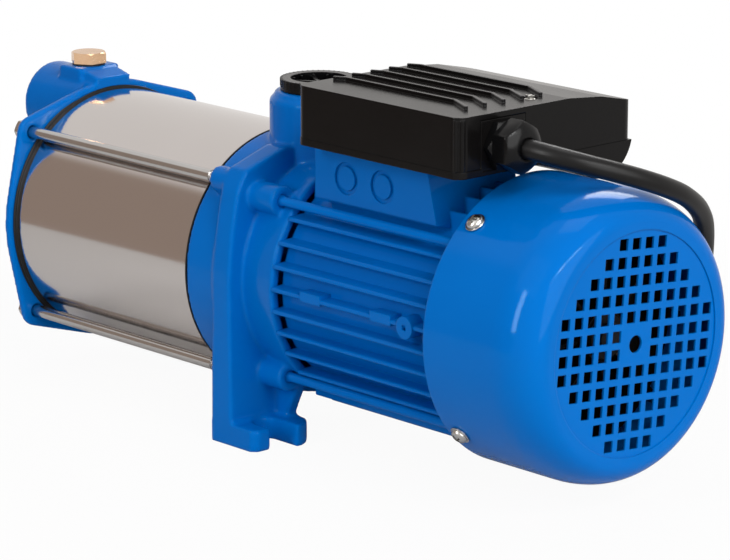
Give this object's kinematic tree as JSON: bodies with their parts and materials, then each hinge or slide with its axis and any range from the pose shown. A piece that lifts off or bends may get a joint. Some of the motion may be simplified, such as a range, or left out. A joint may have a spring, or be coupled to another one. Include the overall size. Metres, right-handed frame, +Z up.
{
  "type": "horizontal multistage pump",
  "caption": "Horizontal multistage water pump with a polished barrel, tie rods, a footed bracket, a fan-cooled motor, a terminal box and a power cord.",
  "frame": {"origin": "on the floor under the middle of the pump's length, below the shaft's axis", "axes": "+Z up, +X along the shaft from the suction port to the motor's fan, +Y to the side that is away from the cable gland"},
  "size_m": [0.4303, 0.2772, 0.1852],
  "materials": {
    "enamelled_cast_iron": "glossy blue enamel over cast iron",
    "enamelled_aluminium": "glossy blue enamel over cast aluminium",
    "enamelled_sheet": "glossy blue enamel over drawn steel sheet",
    "enamelled_steel": "glossy blue enamel over steel bolts",
    "stainless_sheet": "polished stainless steel sheet",
    "zinc_steel": "bright zinc-plated steel",
    "shaft_steel": "ground stainless steel",
    "bearing_steel": "polished bearing steel",
    "laminated_steel": "stacked electrical steel sheets",
    "winding_copper": "varnished copper wire",
    "plug_brass": "plain machined brass",
    "pin_brass": "nickel-plated brass pins",
    "black_plastic": "moulded black plastic with a satin surface",
    "stage_plastic": "glass-filled moulded plastic",
    "capacitor_can": "pale plastic can",
    "seal_rubber": "black nitrile rubber",
    "cord_rubber": "black rubber sheath",
    "seal_carbon": "carbon and ceramic seal faces"
  },
  "bodies": {
    "pump": {"barrel": "stainless_sheet", "bearing_spring": "bearing_steel", "box_base_screws": "zinc_steel", "box_lid_screw": "zinc_steel", "bracket": "enamelled_cast_iron", "capacitor": "capacitor_can", "cord_coil": "cord_rubber", "cord_tail": "cord_rubber", "fan_cover": "enamelled_sheet", "fan_cover_screws": "zinc_steel", "front_bearing_outer_ring": "bearing_steel", "front_gasket": "seal_rubber", "gland_body": "black_plastic", "gland_lock_nut": "black_plastic", "gland_nut": "black_plastic", "gland_sleeve": "seal_rubber", "mains_plug": "cord_rubber", "mains_plug_pins": "pin_brass", "motor_bolts": "enamelled_steel", "motor_frame": "enamelled_aluminium", "power_cord": "cord_rubber", "rear_bearing_outer_ring": "bearing_steel", "rear_gasket": "seal_rubber", "rear_shield": "enamelled_aluminium", "seal_seat": "seal_carbon", "stack_spacer": "stage_plastic", "stage_housing_1": "stage_plastic", "stage_housing_2": "stage_plastic", "stage_housing_3": "stage_plastic", "stage_housing_4": "stage_plastic", "stage_housing_5": "stage_plastic", "stage_inlet_plate": "stage_plastic", "stator_core": "laminated_steel", "suction_casing": "enamelled_cast_iron", "terminal_box_base": "black_plastic", "terminal_box_gasket": "seal_rubber", "terminal_box_lid": "black_plastic", "terminal_strip": "stage_plastic", "tie_rods": "zinc_steel", "windings": "winding_copper"},
    "rotor": {"shaft": "shaft_steel", "shaft_sleeve": "shaft_steel", "shaft_nut": "shaft_steel", "seal_rotating_half": "seal_carbon", "flinger": "seal_rubber", "front_bearing_inner_ring": "bearing_steel", "rear_bearing_inner_ring": "bearing_steel", "rotor_core": "laminated_steel", "cooling_fan": "black_plastic", "fan_clip": "zinc_steel", "impeller_1": "stage_plastic", "impeller_2": "stage_plastic", "impeller_3": "stage_plastic", "impeller_4": "stage_plastic", "impeller_5": "stage_plastic"},
    "fill_plug_lift": {"fill_plug_washer": "seal_rubber"},
    "fill_plug_head": {"fill_plug": "plug_brass"},
    "drain_plug_lift": {"drain_plug_washer": "seal_rubber"},
    "drain_plug_head": {"drain_plug": "plug_brass"},
    "port_cap": {"discharge_cap": "black_plastic"}
  },
  "joints": [
    {"name": "shaft_spin", "type": "hinge", "parent": "pump", "child": "rotor", "pos_m": [0, 0, 0.08], "axis": [1, 0, 0], "continuous": true},
    {"name": "fill_plug_lift", "type": "slide", "parent": "pump", "child": "fill_plug_lift", "axis": [0, 0, 1], "range_m": [0, 0.00936]},
    {"name": "fill_plug_turn", "type": "hinge", "parent": "fill_plug_lift", "child": "fill_plug_head", "pos_m": [-0.184, 0, 0.16], "axis": [0, 0, 1], "range_deg": [0, 2520]},
    {"name": "drain_plug_lift", "type": "slide", "parent": "pump", "child": "drain_plug_lift", "axis": [-1, 0, 0], "range_m": [0, 0.00936]},
    {"name": "drain_plug_turn", "type": "hinge", "parent": "drain_plug_lift", "child": "drain_plug_head", "pos_m": [-0.19, 0, 0.049], "axis": [-1, 0, 0], "range_deg": [0, 2520]},
    {"name": "port_cap_pull", "type": "slide", "parent": "pump", "child": "port_cap", "axis": [0, 0, 1], "range_m": [0, 0.022]}
  ],
  "couplings": [
    {"joint": "fill_plug_turn", "follows": "fill_plug_lift", "rad_per_m": 4699.4},
    {"joint": "drain_plug_turn", "follows": "drain_plug_lift", "rad_per_m": 4699.4}
  ]
}
